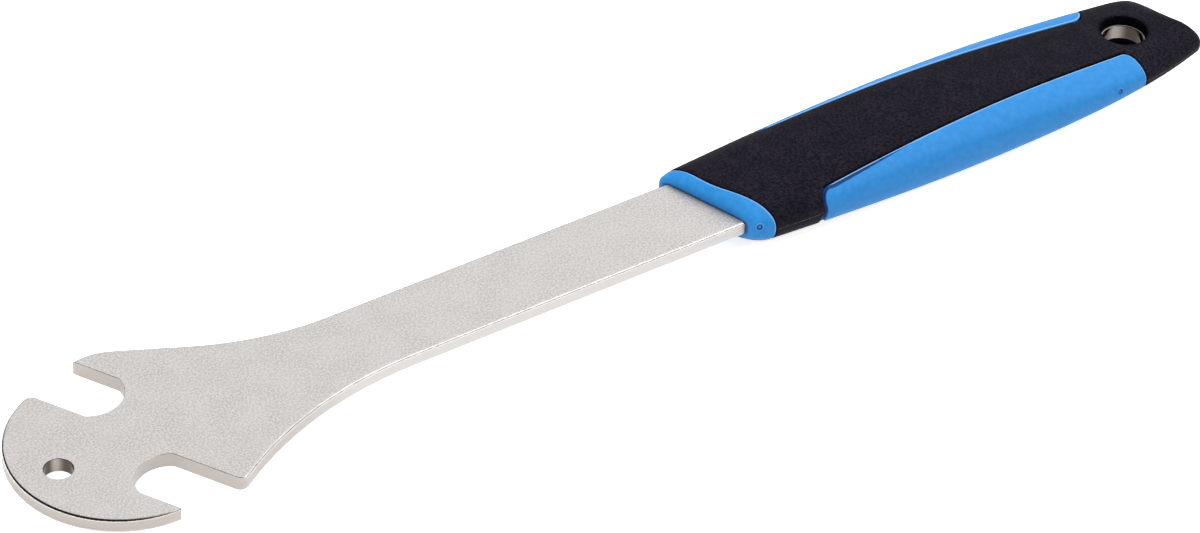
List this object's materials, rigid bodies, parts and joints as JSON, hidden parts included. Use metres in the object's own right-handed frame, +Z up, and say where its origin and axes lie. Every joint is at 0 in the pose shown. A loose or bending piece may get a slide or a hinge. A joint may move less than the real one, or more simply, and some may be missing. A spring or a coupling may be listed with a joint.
{
  "type": "pedal wrench",
  "caption": "Flat steel pedal wrench with slanted open jaws on both sides of its round head and a slim two-material moulded handle with a hanging hole.",
  "frame": {"origin": "On the blade's top face, on the shaft's middle line, beside the centre of the head's round edge.", "axes": "+X along the shaft from the head to the handle, +Z up out of the blade's top face, +Y to the jaw that opens away from the viewer with the head on the left."},
  "size_m": [0.337, 0.0573, 0.018],
  "materials": {
    "nickel_steel": "satin nickel plate with a fine grain",
    "blue_plastic": "smooth semi-gloss moulded plastic",
    "black_grip": "matt soft overmoulding with a fine texture"
  },
  "bodies": {
    "root": {"steel_blade": "nickel_steel", "handle_core": "blue_plastic", "soft_grip": "black_grip"}
  },
  "joints": []
}
